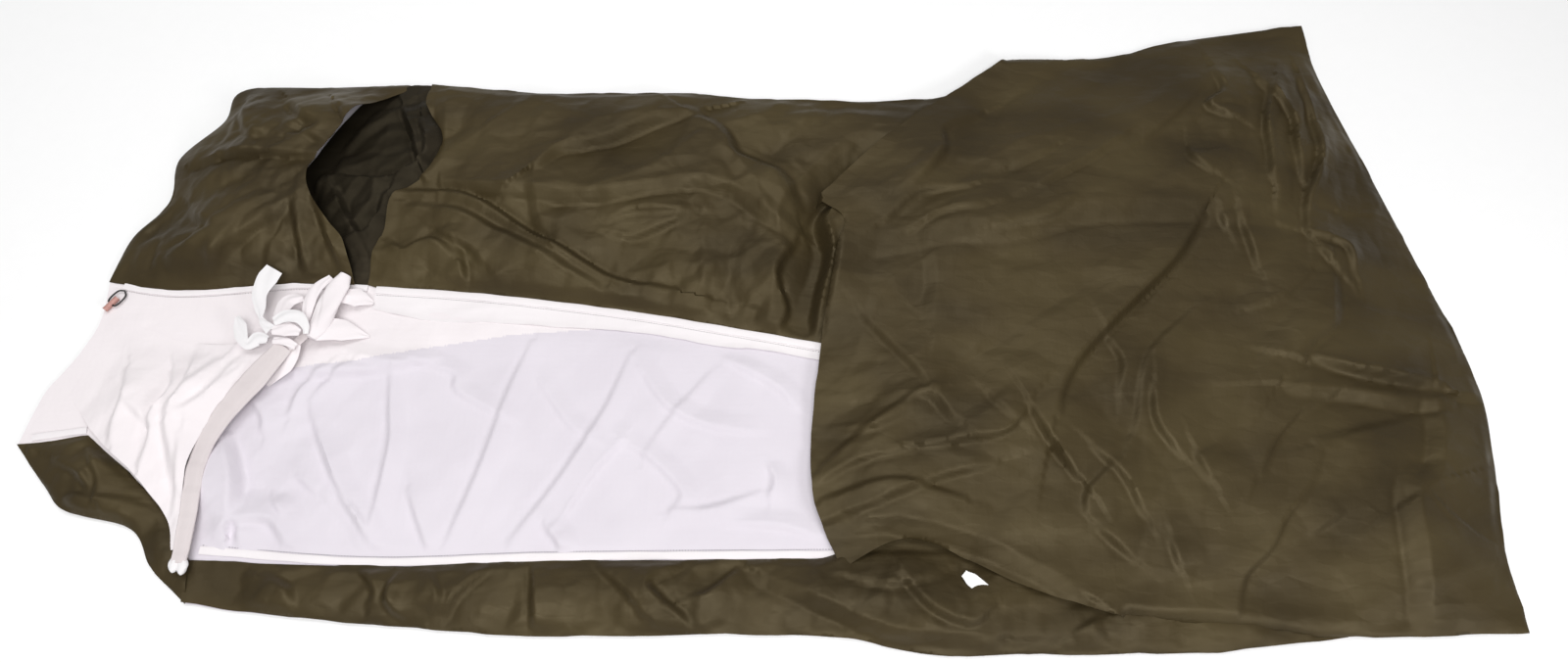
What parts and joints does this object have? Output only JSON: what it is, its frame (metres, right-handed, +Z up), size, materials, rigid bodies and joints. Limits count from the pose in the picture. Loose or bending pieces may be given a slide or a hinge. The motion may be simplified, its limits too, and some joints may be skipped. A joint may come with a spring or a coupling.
{
  "type": "bivy sack",
  "caption": "Bivy sack of olive nylon with a white cotton liner, laid flat with its side opening turned back, a foot pocket, a hood and a gathered neck flap with tie tapes.",
  "frame": {"origin": "on the floor under the middle of the box that the sack fills as it lies", "axes": "+X from the head end to the foot end, +Y to the far long side, +Z up"},
  "size_m": [2.2006, 1.09, 0.0646],
  "materials": {
    "shell_nylon": "olive drab coated nylon taffeta, slightly glossy, creased",
    "ground_nylon": "olive drab coated nylon, underside",
    "liner_cotton": "white plain-weave cotton, matt, creased",
    "neck_cotton": "warm white thin cotton, matt, gathered",
    "casing_cotton": "beige doubled cotton, matt",
    "tape_cotton": "white woven cotton tape, matt",
    "label_satin": "white woven label, soft sheen",
    "dark_cord": "dark brown round cord, matt",
    "toggle_wood": "pale reddish turned wood, worn"
  },
  "bodies": {
    "sack": {"ground_panel": "ground_nylon", "liner_back_sheet": "liner_cotton", "liner_head_sheet": "liner_cotton", "far_facing": "liner_cotton", "far_hem": "liner_cotton", "near_hem": "liner_cotton", "hood_binding": "liner_cotton", "head_binding": "liner_cotton", "far_front_panel": "shell_nylon", "near_front_panel": "shell_nylon", "near_head_panel": "shell_nylon", "hood": "shell_nylon", "neck_gusset": "shell_nylon", "foot_cover": "shell_nylon", "foot_seam_allowance": "shell_nylon"},
    "cover_mouth": {"cover_mouth": "shell_nylon"},
    "neck_flap": {"neck_flap": "neck_cotton", "drawstring_casing": "casing_cotton", "draw_tape": "tape_cotton"},
    "tie_tape_long": {"tie_tape_long": "tape_cotton"},
    "tie_tape_short": {"tie_tape_short": "tape_cotton"},
    "tie_tape_bow": {"tie_tape_bow": "tape_cotton"},
    "care_label": {"care_label": "label_satin"},
    "toggle": {"toggle": "toggle_wood", "toggle_loop": "dark_cord"}
  },
  "joints": [
    {"name": "cover_mouth_lift", "type": "hinge", "parent": "sack", "child": "cover_mouth", "pos_m": [0.4745, -0.014, 0.0486], "axis": [-0.0938, 0.9956, 0], "range_deg": [0, 110]},
    {"name": "neck_flap_lift", "type": "hinge", "parent": "sack", "child": "neck_flap", "pos_m": [-1.0185, -0.0925, 0.0099], "axis": [-0.3035, -0.9528, 0], "range_deg": [0, 110]},
    {"name": "tie_long_lift", "type": "hinge", "parent": "neck_flap", "child": "tie_tape_long", "pos_m": [-0.756, -0.036, 0.032], "axis": [0.8762, 0.4819, 0], "range_deg": [0, 75]},
    {"name": "tie_short_lift", "type": "hinge", "parent": "neck_flap", "child": "tie_tape_short", "pos_m": [-0.745, -0.093, 0.0345], "axis": [0, 1, 0], "range_deg": [0, 90]},
    {"name": "tie_bow_lift", "type": "hinge", "parent": "neck_flap", "child": "tie_tape_bow", "pos_m": [-0.677, -0.084, 0.0405], "axis": [1, 0, 0], "range_deg": [0, 90]},
    {"name": "label_flip", "type": "hinge", "parent": "sack", "child": "care_label", "pos_m": [0.296, -0.434, 0.0221], "axis": [-0.6594, -0.7518, 0], "range_deg": [0, 110]},
    {"name": "toggle_swing", "type": "hinge", "parent": "sack", "child": "toggle", "pos_m": [-0.9947, 0.0188, 0.0089], "axis": [-0.8134, 0.5817, 0], "range_deg": [0, 120]}
  ]
}
